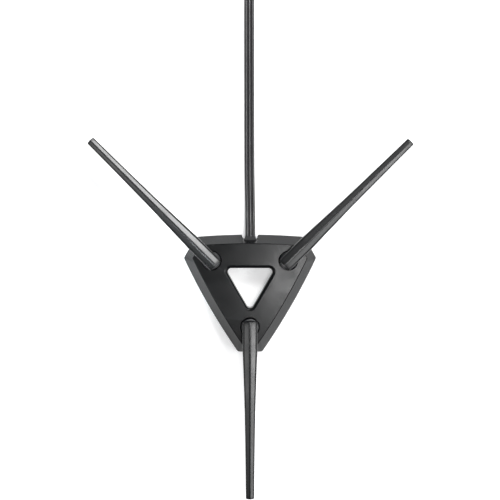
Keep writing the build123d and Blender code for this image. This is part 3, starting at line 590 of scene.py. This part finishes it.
def build_tails():
    """Three tails fan out of the splitter and come down to the plugs, each along its own smooth line."""
    _, end, heading = cable_end()
    aside_way = np.array([-heading[1], heading[0]])
    grids = []
    for k in (-1, 0, 1):
        near, bend, straight, last = [SPLITTER_LENGTH + step for step in TAIL_STEPS]
        flat = [(near, 0.0, COIL_LEVEL + k * STRAND_PITCH), (bend, 0.0, COIL_LEVEL + k * STRAND_PITCH),
                (straight, k * TAIL_SPREAD, TAIL_HEIGHT), (last, k * TAIL_SPREAD, TAIL_HEIGHT)]
        route = [(*(end + x * heading + y * aside_way), z) for x, y, z in flat]
        line = smooth_line(f"tail_line_{k + 2}", route, 12)
        along = directions(line)
        side = np.cross(along, (0.0, 0.0, 1.0))
        side /= np.linalg.norm(side, axis=1, keepdims=True)
        grids.append(capped(strand_rings(line, side, np.cross(side, along), 0.0)))
    tails = surface("lead_tails_fan", grids, LEAD_JACKET, "base", sharp=50)
    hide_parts("lead_tails")
    return tails


lead, lead_line = build_lead()
tails = build_tails()


# ------------------------------------------------------------------ base shell
EDGE_SOFTNESS = 0.55  # how widely the soft minimum rounds the outline's corners, in mm
NOTCH_MOUTH = 43.0  # how far back the notch's sides meet the outline
BEND_SPREAD = 0.075  # how far to each side of a corner's bend the directions lie close, in radians
NOTCH_SPREAD = 0.006  # the same, beside the notch
WELL_LIP = 0.5
TOP_MARGIN = 0.5  # how far the flat top face stays back from the hole's rim
WELL_MARGIN = 0.8  # how far it stays back from a well's wall


def outline_reach(angle, inset):
    """How far the base reaches in each direction, moved in by inset, in mm.

    It is the least of three lines across the cut corners and three arcs along the sides. The arcs keep their
    middles, so the outline moves in evenly. A soft minimum rounds where two of them meet.
    """
    half_cut = CORNER_WIDTH / 2
    chord = CORNER_DISTANCE * np.sin(np.pi / 3) - half_cut * np.cos(np.pi / 3)
    low = CORNER_DISTANCE * np.cos(np.pi / 3) + half_cut * np.sin(np.pi / 3)
    bow = SIDE_DISTANCE - low
    radius = (chord**2 + bow**2) / (2 * bow)
    behind = radius - SIDE_DISTANCE
    away = np.cos(angle[..., None] - CORNER_ANGLES)
    lines = (CORNER_DISTANCE - inset)[..., None] / np.maximum(away, 0.05)
    side = angle[..., None] - CORNER_ANGLES - np.pi / 3
    across = behind * np.sin(side)
    arcs = np.sqrt((radius - inset)[..., None] ** 2 - across**2) - behind * np.cos(side)
    reach = np.concatenate([lines, arcs], -1)
    softness = np.maximum(EDGE_SOFTNESS - 0.03 * inset, 0.2)[..., None]
    least = reach.min(-1, keepdims=True)
    return (least - softness * np.log(np.exp((least - reach) / softness).sum(-1, keepdims=True)))[..., 0]


def outline_angles():
    """Directions for the base's rings: even all round, closer at the corners and beside the notch."""
    bend = np.arctan2(CORNER_WIDTH / 2, CORNER_DISTANCE)
    close = np.linspace(-BEND_SPREAD, BEND_SPREAD, 31)
    near = [a + s * bend + close for a in CORNER_ANGLES for s in (-1, 1)]
    notch = np.arctan2(NOTCH_HALF, NOTCH_MOUTH) + np.linspace(-NOTCH_SPREAD, NOTCH_SPREAD, 5)
    beside = np.concatenate([np.pi / 2 + s * notch for s in (-1, 1)])
    even = np.linspace(0, 2 * np.pi, 240, endpoint=False)
    angle = np.concatenate([even, *near, beside]) % (2 * np.pi)
    return np.unique(np.round(angle, 6))


ANGLES = outline_angles()


def notched(reach, angle, wall):
    """The reach cut back to the notch's wall between its two sides, or to that wall's inner face."""
    x = reach * np.cos(angle)
    y = reach * np.sin(angle)
    inside = (np.abs(x) < NOTCH_HALF + wall) & (y > NOTCH_WALL - wall)
    return np.where(inside, (NOTCH_WALL - wall) / np.maximum(np.sin(angle), 0.1), reach)


def base_rings(profile, inside=False):
    """Rings of the base's outline at each (inset, height) of the profile.

    Outside, the notch is cut to its wall's outer face, and under the rim it follows the inset. Inside, it is
    cut to the wall's inner face.
    """
    profile = np.asarray(profile, float)
    angle = np.broadcast_to(ANGLES, (len(profile), len(ANGLES)))
    inset = np.broadcast_to(profile[:, :1], angle.shape)
    under_rim = np.where(profile[:, 1:] < WALL_TOP / 2, profile[:, :1], 0.0)
    reach = notched(outline_reach(angle, inset), angle, SHELL_WALL if inside else under_rim)
    height = np.broadcast_to(profile[:, 1:], angle.shape)
    return np.stack([reach * np.cos(angle), reach * np.sin(angle), height], -1)


def shell_profile():
    """From inside the rim, round the edge, up the wall and the bevel and over onto the top face."""
    corners = [(SHELL_WALL, 2 * BASE_RIM), (SHELL_WALL, BASE_RIM), (0.0, BASE_RIM), (0.0, WALL_TOP),
               (BEVEL_INSET, BASE_TOP), (BEVEL_INSET + 1.4, BASE_TOP)]
    return bent_profile(corners, (0.25, 0.25, 0.3, 0.55))


def triangle_ring(inradius, rounding, steps=10, straight=8):
    """A three-cornered ring: arcs about points on the corners' lines, joined by straight sides."""
    u = np.linspace(-np.pi / 3, np.pi / 3, steps)
    angle = CORNER_ANGLES[:, None] + u
    middle = 2 * (inradius - rounding) * np.stack([np.cos(CORNER_ANGLES), np.sin(CORNER_ANGLES)], -1)
    arcs = middle[:, None] + rounding * np.stack([np.cos(angle), np.sin(angle)], -1)
    share = np.linspace(0, 1, straight + 2)[1:-1][:, None]
    following = np.roll(arcs, -1, 0)
    sides = arcs[:, -1][:, None] * (1 - share) + following[:, 0][:, None] * share
    return np.concatenate([arcs, sides], 1).reshape(-1, 2)


def triangle_rings(profile):
    """Rings of the middle hole at each (outset from the wall, height)."""
    rings = []
    for outset, height in profile:
        ring = triangle_ring(HOLE_INRADIUS + outset, HOLE_ROUND + outset)
        rings.append(np.column_stack([ring, np.full(len(ring), height)]))
    return np.array(rings)


def level_face(loops, height, hole_outset, well_reach):
    """A level face between its loops, as points and triangles.

    Triangles outside the first loop, inside the middle hole or inside a well are dropped.
    """
    flat = np.concatenate([loop[:, :2] for loop in loops])
    edges, first = [], 0
    for loop in loops:
        index = np.arange(len(loop))
        edges += np.stack([first + index, first + (index + 1) % len(loop)], -1).tolist()
        first += len(loop)
    found = delaunay_2d_cdt([Vector(p) for p in flat], edges, [], 0, 1e-5)
    points = np.array([tuple(v) for v in found[0]])
    faces = np.array([f for f in found[2] if len(f) == 3])
    middle = points[faces].mean(1)
    hole = triangle_ring(HOLE_INRADIUS + hole_outset, HOLE_ROUND + hole_outset)
    keep = np.hypot(*middle.T) < ring_reach(loops[0], middle)
    keep &= np.hypot(*middle.T) > ring_reach(hole, middle)
    for corner in CORNERS:
        keep &= np.hypot(*(middle - well_middle(corner)[:2]).T) > well_reach
    return np.column_stack([points, np.full(len(points), height)]), faces[keep]


def ring_reach(ring, points):
    """How far a ring round the middle reaches in each point's direction, read off its straight sides."""
    fine = np.linspace(0, 1, 8, endpoint=False)[:, None, None]
    dense = (ring[None, :, :2] * (1 - fine) + np.roll(ring, -1, 0)[None, :, :2] * fine).reshape(-1, 2)
    angle = np.arctan2(dense[:, 1], dense[:, 0]) % (2 * np.pi)
    order = np.argsort(angle)
    at = np.arctan2(points[:, 1], points[:, 0]) % (2 * np.pi)
    return np.interp(at, angle[order], np.hypot(*dense.T)[order], period=2 * np.pi)


def build_top_shell():
    """The moulding as one closed skin: outside, hole and wells, and the same from inside, a wall away."""
    outer = base_rings(shell_profile())
    lean = BEVEL_INSET / (BASE_TOP - WALL_TOP)
    ceiling_inset = SHELL_WALL + lean * (CEILING - WALL_TOP)
    inner = base_rings([(SHELL_WALL, 2 * BASE_RIM), (SHELL_WALL, WALL_TOP), (ceiling_inset, CEILING)], True)
    hole_top = HOLE_RIM + TOP_MARGIN
    rim = [(hole_top, BASE_TOP), (HOLE_RIM + 0.12, BASE_TOP)]
    rim += [(HOLE_RIM - up, BASE_TOP - into) for into, up in quarter(HOLE_RIM, 9)]
    rim += [(0.0, BASE_TOP / 2), (0.0, BASE_RIM), (HOLE_WALL, BASE_RIM), (HOLE_WALL, CEILING)]
    hole = triangle_rings(rim)
    well_top = WELL_RADIUS + WELL_MARGIN
    lip = [(well_top, BASE_TOP), (WELL_RADIUS + WELL_LIP + 0.08, BASE_TOP)]
    lip += [(WELL_RADIUS + WELL_LIP - up, BASE_TOP - into) for into, up in quarter(WELL_LIP, 5)]
    outside = WELL_RADIUS + WELL_WALL
    lip += [(WELL_RADIUS, WELL_FLOOR), (JACK_HOLE_RADIUS, WELL_FLOOR), (JACK_HOLE_RADIUS, WELL_UNDERSIDE),
            (outside, WELL_UNDERSIDE), (outside, CEILING)]
    well = turned(lip, 72)
    wells = [well + well_middle(corner) for corner in CORNERS]
    top_loops = [rings[0] for rings in (hole, *wells)]
    roof_loops = [rings[-1] for rings in (hole, *wells)]
    top, top_faces = level_face([outer[-1], *top_loops], BASE_TOP, hole_top, well_top)
    roof, roof_faces = level_face([inner[-1], *roof_loops], CEILING, HOLE_WALL, outside)
    faces = top_faces.tolist() + (roof_faces + len(top)).tolist()
    shell = surface("base_top_shell", [outer, inner, hole, *wells], SHELL_PLASTIC, "base",
                    faces=faces, points=np.concatenate([top, roof]), weld=2e-6)
    keep_flat(shell.data, BASE_TOP)
    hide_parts("top_shell")


build_top_shell()


def rounded_bar_ring(half_wide, half_tall, rounding, steps=12):
    """A rounded rectangle across the lead at its exit, as points (x, z) in a ring."""
    quadrant = np.radians(np.linspace(0, 90, steps))
    arc = rounding * np.column_stack([np.cos(quadrant), np.sin(quadrant)])
    arc = arc + (half_wide - rounding, half_tall - rounding)
    upper = np.concatenate([arc, (arc * (-1, 1))[::-1]])
    return np.concatenate([upper, -upper]) + (LEAD_EXIT[0], LEAD_EXIT[2])


def build_grommet():
    """The strain relief: a lip inside, a sleeve through the wall, and outside it a ribbed taper.

    Stations are (place along Y, half the width, half the height, rounding), out along the outside and back
    along the opening for the lead.
    """
    sleeve = [(37.0, 6.3, 2.75, 0.5), (37.2, 6.5, 2.95, 0.6), (38.8, 6.5, 2.95, 0.6), (39.0, 6.3, 2.75, 0.5),
              (39.05, 5.95, 2.48, 0.4), (40.95, 5.95, 2.48, 0.4), (41.0, 5.2, 2.48, 0.9)]
    along = np.linspace(0, 1, 25)
    ribs = 0.1 * np.sin(3 * np.pi * along) ** 2
    tapered = [(41.05 + 1.8 * t, 5.2 - 0.18 * t - rib, 2.48 - 0.6 * t - rib, 0.9 + 0.6 * t)
               for t, rib in zip(along, ribs)]
    tip = [(42.93, 4.96, 1.82, 1.45), (42.97, 4.9, 1.74, 1.4)]
    inside = [(42.97, 4.76, 1.58, 1.56), (42.9, 4.73, 1.56, 1.555),
              (37.05, 4.73, 1.56, 1.555), (37.0, 4.8, 1.62, 1.6)]
    stations = sleeve + tapered + tip + inside
    rings = [upright_ring(rounded_bar_ring(*sizes), y) for y, *sizes in stations + stations[:1]]
    piece = surface("lead_strain_relief", [np.array(rings)], GROMMET_RUBBER, "base", sharp=40)
    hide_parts("cable_grommet")


build_grommet()


# ------------------------------------------------------------------ blades
CUT_PAST = 8.0  # how far the cutters reach behind and below the tilt axis
CUT_ASIDE = 9.0  # how far they reach to each side


def blade_size(distance):
    """Half the width and half the thickness at each distance along the blade."""
    x, width, thick = BLADE_STATIONS.T
    return np.interp(distance, x, width) / 2, np.interp(distance, x, thick) / 2


def blade_corners(distance, inset, upper):
    """Corners of one half's cross-sections, as (sections, corners, 2) of (across, up), and their scale."""
    wide, thick = blade_size(distance)
    seam = -SEAM_SHARE * thick
    wide = wide - inset
    thick = thick - inset
    scale = wide / (BLADE_STATIONS[0, 1] / 2)
    eave = wide - BLADE_EDGE * scale
    shoulder = thick - eave * np.tan(np.radians(ROOF_SLOPE))
    if upper:
        half = [(np.zeros_like(wide), thick), (eave, shoulder), (wide, shoulder - EAVE_DROP * scale),
                (wide, seam + SEAM_GAP)]
    else:
        half = [(wide, seam - SEAM_GAP), (wide, BLADE_EDGE * scale - thick), (eave, -thick)]
    right = np.stack([np.stack(np.broadcast_arrays(y, z), -1) for y, z in half], 1)
    mirrored = right[:, ::-1] * (-1, 1)
    if upper:
        mirrored = mirrored[:, :-1]
    return np.concatenate([right, mirrored], 1), scale


def blade_half(upper):
    """One half of the blade as rings along it; both ends are drawn in over a quarter circle and closed."""
    first = BLADE_BACK + BACK_ROUND
    last = BLADE_TIP - TIP_ROUND
    body = np.unique(np.concatenate([np.linspace(first, last, 64), BLADE_STATIONS[1:-1, 0]]))
    back = quarter(BACK_ROUND, 6)[::-1]
    tip = quarter(TIP_ROUND, 6)
    distance = np.concatenate([first - back[:, 1], body, last + tip[:, 1]])
    inset = np.concatenate([back[:, 0], np.zeros(len(body)), tip[:, 0]])
    corners, scale = blade_corners(distance, inset, upper)
    if upper:
        radii = np.array([1.3, 1.3, 1.1, 0.15, 0.15, 1.1, 1.3])
    else:
        radii = np.array([0.15, 1.2, 1.2, 1.2, 1.2, 0.15])
    section = bend_corners(corners, radii[None] * scale[:, None], 7)
    rings = np.stack([np.broadcast_to(distance[:, None], section.shape[:2]), section[..., 0],
                      section[..., 1] + PIVOT], -1)
    return capped(rings)


def box_grid(low, high):
    """A box as capped rings along X."""
    (x0, y0, z0), (x1, y1, z1) = low, high
    ring = np.array([(y0, z0), (y1, z0), (y1, z1), (y0, z1)])
    rings = np.stack([np.column_stack([np.full(4, x), ring]) for x in (x0, x1)])
    return capped(rings)


def root_cutters(corner, with_pin):
    """What is cut from the blade's inner end: the tongue's slot, the lower corner and the pin's hole."""
    reach = TONGUE_RADIUS + PLAY
    half = TONGUE_HALF + PLAY
    slot = box_grid((-CUT_PAST, -half, PIVOT - CUT_PAST), (reach, half, PIVOT + reach))
    arc = np.radians(np.linspace(270, 180, 16))
    outline = np.concatenate([[(-CUT_PAST, 0.0), (-CUT_PAST, -CUT_PAST), (0.0, -CUT_PAST)],
                              ROOT_ROUND * np.column_stack([np.cos(arc), np.sin(arc)])])
    side = [upright_ring(outline + (0.0, PIVOT), y) for y in (-CUT_ASIDE, CUT_ASIDE)]
    cutters = [plain_solid("slot_cutter", place(slot, corner)),
               plain_solid("corner_cutter", place(capped(side), corner))]
    if with_pin:
        radius = PIN_RADIUS + 0.03
        bore = turned([(radius, -CUT_ASIDE), (radius, CUT_ASIDE)], 40)
        across = np.stack([bore[..., 0], bore[..., 2], bore[..., 1] + PIVOT], -1)
        cutters.append(plain_solid("pin_cutter", place(capped(across), corner)))
    return cutters


def build_blade(corner):
    """The blade's two halves, cut free round the knuckle's tongue."""
    for upper, node, name in ((True, "blade_top_shell", "blade_roof"),
                              (False, "blade_bottom_cover", "blade_floor")):
        grid = place(blade_half(upper), corner)
        piece = surface(f"{corner}_{name}", [grid], BLADE_PLASTIC, f"{corner}_blade", sharp=32)
        cut_away(piece, root_cutters(corner, upper), 32)
        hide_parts(f"{corner}_{node}")


# ------------------------------------------------------------------ collars and knuckles
FLUTE_DEPTH = 0.32
FLUTE_EASE = 0.6  # over this height a flute's end comes out to the surface
FOOT_CORE = 2.7  # radius of the knuckle's foot where its flat ends begin
TONGUE_STEPS = 14
TONGUE_FOOT = COLLAR_TOP - 0.3  # the tongue starts inside the foot


def build_collar(corner):
    """A turned ring with round flutes: the outside radius dips by a raised cosine to the third power."""
    throat = KNUCKLE_RADIUS + PLAY
    corners = [(COLLAR_BORE_RADIUS, COLLAR_BOTTOM), (COLLAR_RADIUS, COLLAR_BOTTOM),
               (COLLAR_RADIUS, COLLAR_BOTTOM + 1.2), (COLLAR_RADIUS, COLLAR_TOP - 2.2),
               (COLLAR_RADIUS, COLLAR_TOP), (throat, COLLAR_TOP), (throat, COLLAR_SHELF),
               (COLLAR_BORE_RADIUS, COLLAR_SHELF), (COLLAR_BORE_RADIUS, COLLAR_BOTTOM)]
    profile = bent_profile(corners, (0.4, 0.3, 0.3, 0.8, 0.3, 0.1, 0.1))[1:]
    height = profile[:, 1]
    past_end = np.minimum(height - COLLAR_BOTTOM - 1.0, COLLAR_TOP - 1.6 - height)
    depth = FLUTE_DEPTH * np.clip(past_end / FLUTE_EASE, 0, 1) * (profile[:, 0] > COLLAR_RADIUS - 0.01)

    def flutes(angle, row):
        return -depth[row] * (0.5 + 0.5 * np.cos(COLLAR_FLUTES * angle)) ** 3

    grid = place(turned(profile, 288, flutes), corner)
    grid = np.concatenate([grid, grid[:1]])
    piece = surface(f"{corner}_fluted_collar", [grid], COLLAR_PLASTIC, f"{corner}_collar_and_nut", sharp=40)
    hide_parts(f"{corner}_collar")


def build_knuckle(corner):
    """A round foot turned about the well's axis, and a round-headed tongue that carries the hinge pin."""
    foot = [(FOOT_CORE, KNUCKLE_BOTTOM), (KNUCKLE_RADIUS - 0.3, KNUCKLE_BOTTOM),
            (KNUCKLE_RADIUS, KNUCKLE_BOTTOM + 0.3), (KNUCKLE_RADIUS, COLLAR_TOP - 0.5),
            (KNUCKLE_RADIUS - 0.15, COLLAR_TOP - 0.15), (KNUCKLE_RADIUS - 0.5, COLLAR_TOP),
            (FOOT_CORE, COLLAR_TOP)]
    round_foot = capped(turned(foot, 96))
    pin = np.array([0.0, PIVOT])
    angle = np.radians(np.linspace(0, 180, 25))
    arch = TONGUE_RADIUS * np.column_stack([np.cos(angle), np.sin(angle)]) + pin
    right = np.column_stack([np.full(TONGUE_STEPS, TONGUE_RADIUS),
                             np.linspace(TONGUE_FOOT, PIVOT - 0.4, TONGUE_STEPS)])
    left = (right * (-1, 1))[::-1]
    bottom = np.column_stack([np.linspace(-2.6, 2.6, TONGUE_STEPS), np.full(TONGUE_STEPS, TONGUE_FOOT)])
    outline = np.concatenate([right, arch, left, bottom])
    away = (outline - pin) / np.linalg.norm(outline - pin, axis=1, keepdims=True)
    bore = pin + (PIN_RADIUS + 0.05) * away
    slices = [upright_ring(outline - away * shrink, aside) for aside, shrink in (
        (-TONGUE_HALF, 0.25), (-TONGUE_HALF + 0.07, 0.07), (-TONGUE_HALF + 0.25, 0.0),
        (TONGUE_HALF - 0.25, 0.0), (TONGUE_HALF - 0.07, 0.07), (TONGUE_HALF, 0.25))]
    bores = [upright_ring(bore, aside) for aside in (-TONGUE_HALF, TONGUE_HALF)]
    tongue = place(np.array([bores[0], *slices, bores[1], bores[0]]), corner)
    piece = surface(f"{corner}_swivel_knuckle", [tongue], COLLAR_PLASTIC, f"{corner}_swivel", sharp=32)
    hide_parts(f"{corner}_knuckle")
    grid = place(round_foot, corner)
    seat = surface(f"{corner}_swivel_foot", [grid], COLLAR_PLASTIC, f"{corner}_swivel", sharp=40)


for corner in CORNERS:
    build_blade(corner)
    build_collar(corner)
    build_knuckle(corner)


# ------------------------------------------------------------------ floor and light
FLOOR_REACH = 3.0  # half the floor's side, in metres
FLOOR_GLOW = 0.38
WORLD_STRENGTH = 0.2


def add_floor():
    """A white floor that glows a little, so that it stays white right under the dock."""
    mesh = bpy.data.meshes.new("floor")
    mesh.from_pydata([(FLOOR_REACH * x, FLOOR_REACH * y, 0) for x, y in ((-1, -1), (1, -1), (1, 1), (-1, 1))],
                     [], [(0, 1, 2, 3)])
    material, _, _, shader = new_material("floor_white", (0.8, 0.8, 0.8), 0.9, specular=0.1)
    shader.inputs["Emission Color"].default_value = (1, 1, 1, 1)
    shader.inputs["Emission Strength"].default_value = FLOOR_GLOW
    mesh.materials.append(material)
    floor = bpy.data.objects.new("floor", mesh)
    bpy.context.collection.objects.link(floor)


def add_softbox(name, azimuth, elevation, distance, size, radiance):
    """A square light aimed at the dock's middle, at angles in degrees; its power is radiance * area * pi."""
    around, rise = np.radians(azimuth), np.radians(elevation)
    away = Vector((np.cos(rise) * np.cos(around), np.cos(rise) * np.sin(around), np.sin(rise)))
    data = bpy.data.lights.new(name, "AREA")
    data.shape = "SQUARE"
    data.size = size
    data.energy = radiance * size**2 * np.pi
    light = bpy.data.objects.new(name, data)
    light.location = distance * away
    light.rotation_euler = away.to_track_quat("Z", "Y").to_euler()
    bpy.context.collection.objects.link(light)


def add_world():
    """Faint cool light from all round."""
    world = bpy.data.worlds.new("studio")
    world.use_nodes = True
    background = world.node_tree.nodes["Background"]
    background.inputs["Color"].default_value = (0.93, 0.96, 1.0, 1)
    background.inputs["Strength"].default_value = WORLD_STRENGTH
    bpy.context.scene.world = world


def add_pool(name, location, target, spread, power, color):
    """A soft-edged spot that only brightens a patch of the floor, which the steep bevels mirror."""
    data = bpy.data.lights.new(name, "SPOT")
    data.energy = power
    data.color = color
    data.spot_size = np.radians(spread)
    data.spot_blend = 1.0
    data.shadow_soft_size = 0.05
    light = bpy.data.objects.new(name, data)
    light.location = location
    light.rotation_euler = (Vector(location) - Vector(target)).to_track_quat("Z", "Y").to_euler()
    bpy.context.collection.objects.link(light)


add_floor()
add_world()
# name, azimuth, elevation, distance, size and radiance of each
for softbox in (("far_right_1", 55, 47, 1.4, 0.3, 17.0), ("far_right_2", 65, 45.5, 1.4, 0.3, 13.0),
                ("far_right_3", 78, 43.5, 1.4, 0.3, 19.0), ("near_right_1", -14, 43, 1.4, 0.3, 13.0),
                ("near_right_2", -25, 41, 1.4, 0.3, 3.2), ("near_right_3", -38, 40, 1.4, 0.3, 5.0),
                ("near_left_1", 195, 43, 1.4, 0.3, 4.5), ("near_left_2", 206, 41, 1.4, 0.3, 1.0),
                ("near_left_3", 217, 40, 1.4, 0.3, 0.2), ("far_left", 114, 46, 1.4, 0.45, 1.3),
                ("side_right", 20, 48, 1.4, 0.42, 9.0), ("overhead_right", -20, 82.5, 1.41, 0.2, 38.0)):
    add_softbox(*softbox)
add_pool("pool_left", (-0.2, -0.12, 0.36), (-0.088, 0.018, 0.0), 15.0, 14.0, (0.9, 0.96, 1.0))
add_pool("pool_right", (0.25, 0.1, 0.42), (0.09, 0.052, 0.0), 10.0, 8.0, (1.0, 1.0, 1.0))
bpy.context.scene.view_settings.view_transform = "Standard"
